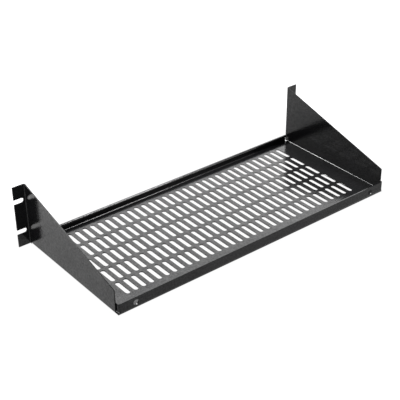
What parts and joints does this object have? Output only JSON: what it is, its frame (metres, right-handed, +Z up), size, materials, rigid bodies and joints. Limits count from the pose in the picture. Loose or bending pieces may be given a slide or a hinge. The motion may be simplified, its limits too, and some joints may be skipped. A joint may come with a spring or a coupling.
{
  "type": "rack shelf",
  "caption": "Vented cantilever shelf for a 19-inch rack: one folded steel sheet with a slotted deck, tapering side brackets and slotted mounting ears.",
  "frame": {"origin": "below the middle of the shelf, in the plane of the deck's underside, half way along its length and depth", "axes": "+X across the rack along the shelf's width, +Y from the free lip towards the mounting ears, +Z up"},
  "size_m": [0.4826, 0.2, 0.0881],
  "materials": {
    "powder_coat": "satin"
  },
  "bodies": {
    "root": {"vented_shelf": "powder_coat"}
  },
  "joints": []
}
